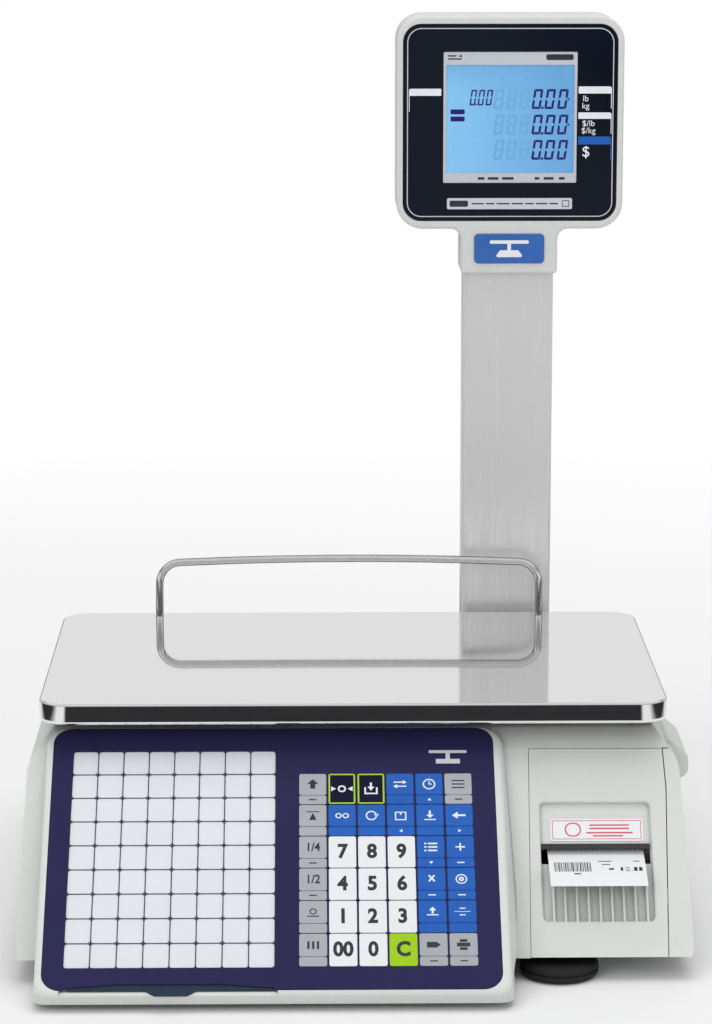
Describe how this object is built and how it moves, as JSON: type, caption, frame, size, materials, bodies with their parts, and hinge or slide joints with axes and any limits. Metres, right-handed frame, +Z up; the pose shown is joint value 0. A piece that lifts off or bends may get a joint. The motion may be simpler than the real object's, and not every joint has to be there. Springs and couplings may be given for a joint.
{
  "type": "retail price scale",
  "caption": "Counter price scale with stainless platter and guard rail, sloping keypad, slide-out label printer, side door and a column-mounted display head.",
  "frame": {"origin": "middle of the footprint's bounding rectangle, on the table plane under the feet", "axes": "+X operator's right, +Y away from the operator, +Z up"},
  "size_m": [0.407, 0.433, 0.5478],
  "materials": {
    "case_plastic": "fine-grained light warm grey ABS, satin",
    "head_plastic": "light grey ABS, satin",
    "dark_plastic": "black moulded plastic",
    "navy_film": "printed polyester keypad film, satin",
    "preset_sheet": "white preset-key card",
    "black_gloss": "glossy black-blue display window",
    "lcd_blue": "backlit light blue liquid-crystal panel",
    "badge_blue": "blue badge, glossy",
    "polished_steel": "polished stainless steel",
    "brushed_steel": "vertically brushed stainless steel",
    "zinc_steel": "zinc-plated sheet steel",
    "cast_alloy": "cast aluminium alloy",
    "rubber": "black rubber",
    "circuit_board": "green solder mask",
    "nylon": "natural nylon",
    "label_paper": "white coated label paper",
    "vial": "clear vial with green liquid"
  },
  "bodies": {
    "base": {"upper_case": "case_plastic", "base_plate": "zinc_steel", "load_cell_base": "cast_alloy", "load_cell": "cast_alloy", "main_board": "circuit_board", "power_supply": "dark_plastic", "spirit_level": "vial", "foot_front_right": "rubber", "foot_front_left": "rubber", "foot_rear_right": "rubber", "foot_rear_left": "rubber", "rear_io_panel": "zinc_steel", "power_inlet": "dark_plastic", "rear_ports": "zinc_steel", "keypad_overlay": "navy_film", "keypad_membrane": "dark_plastic", "keypad_backplate": "zinc_steel", "column": "brushed_steel", "column_socket": "cast_alloy", "column_cable": "rubber", "head_front_case": "head_plastic", "head_rear_case": "head_plastic", "operator_lens": "black_gloss", "customer_lens": "black_gloss", "operator_lcd": "lcd_blue", "customer_lcd": "lcd_blue", "display_board": "circuit_board", "neck_badge": "badge_blue", "door_hinge_pin": "zinc_steel", "drawer_rail_left": "zinc_steel", "drawer_rail_right": "zinc_steel"},
    "load_carrier": {"load_cell_spacer": "cast_alloy", "spider": "cast_alloy", "spider_pad_front_left": "rubber", "spider_pad_front_right": "rubber", "spider_pad_rear_left": "rubber", "spider_pad_rear_right": "rubber"},
    "platter": {"platter": "polished_steel", "guard_rail": "polished_steel", "rail_nut_left": "zinc_steel", "rail_nut_right": "zinc_steel"},
    "side_door": {"side_door": "case_plastic"},
    "printer_drawer": {"printer_front_cover": "case_plastic", "printer_frame": "zinc_steel", "tear_bar": "brushed_steel", "caution_plate": "label_paper", "printed_label": "label_paper", "stepper_motor": "dark_plastic"},
    "platen": {"platen_shaft": "zinc_steel", "platen_roller": "rubber", "platen_gear": "nylon"},
    "idler": {"idler_gear": "nylon"},
    "motor_rotor": {"motor_pinion": "brushed_steel"},
    "label_supply": {"label_roll": "label_paper", "roll_spindle": "dark_plastic"},
    "takeup": {"takeup_spindle": "dark_plastic"},
    "head_arm": {"print_head": "cast_alloy", "head_lever": "dark_plastic"},
    "preset_card": {"preset_card": "preset_sheet"},
    "power_rocker": {"power_rocker": "dark_plastic"}
  },
  "joints": [
    {"name": "load_deflection", "type": "slide", "parent": "base", "child": "load_carrier", "axis": [0, 0, -1], "range_m": [0, 0.0005], "deforming": ["load_cell"]},
    {"name": "platter_lift", "type": "slide", "parent": "load_carrier", "child": "platter", "axis": [0, 0, 1], "range_m": [0, 0.08]},
    {"name": "door_swing", "type": "hinge", "parent": "base", "child": "side_door", "pos_m": [0.1905, -0.0241, 0.0165], "axis": [0, 1, 0], "range_deg": [0, 85]},
    {"name": "drawer_slide", "type": "slide", "parent": "base", "child": "printer_drawer", "axis": [0, -1, 0], "range_m": [0, 0.11]},
    {"name": "platen_spin", "type": "hinge", "parent": "printer_drawer", "child": "platen", "pos_m": [0.1435, -0.0881, 0.06], "axis": [1, 0, 0], "continuous": true},
    {"name": "idler_spin", "type": "hinge", "parent": "printer_drawer", "child": "idler", "pos_m": [0.1435, -0.06955, 0.05503], "axis": [1, 0, 0], "continuous": true},
    {"name": "motor_spin", "type": "hinge", "parent": "printer_drawer", "child": "motor_rotor", "pos_m": [0.1435, -0.05528, 0.05315], "axis": [1, 0, 0], "continuous": true},
    {"name": "label_roll_spin", "type": "hinge", "parent": "printer_drawer", "child": "label_supply", "pos_m": [0.1435, 0.0439, 0.066], "axis": [1, 0, 0], "continuous": true},
    {"name": "takeup_spin", "type": "hinge", "parent": "printer_drawer", "child": "takeup", "pos_m": [0.1435, -0.0221, 0.038], "axis": [1, 0, 0], "continuous": true},
    {"name": "head_lift", "type": "hinge", "parent": "printer_drawer", "child": "head_arm", "pos_m": [0.1435, -0.0481, 0.086], "axis": [-1, 0, 0], "range_deg": [0, 7]},
    {"name": "card_slide", "type": "slide", "parent": "base", "child": "preset_card", "axis": [0, -0.7787, -0.6274], "range_m": [0, 0.012]},
    {"name": "rocker_tilt", "type": "hinge", "parent": "base", "child": "power_rocker", "pos_m": [-0.1035, 0.2079, 0.046], "axis": [-1, 0, 0], "range_deg": [0, 16]}
  ],
  "couplings": [
    {"joint": "idler_spin", "follows": "platen_spin", "ratio": -1},
    {"joint": "motor_spin", "follows": "platen_spin", "ratio": 2}
  ]
}
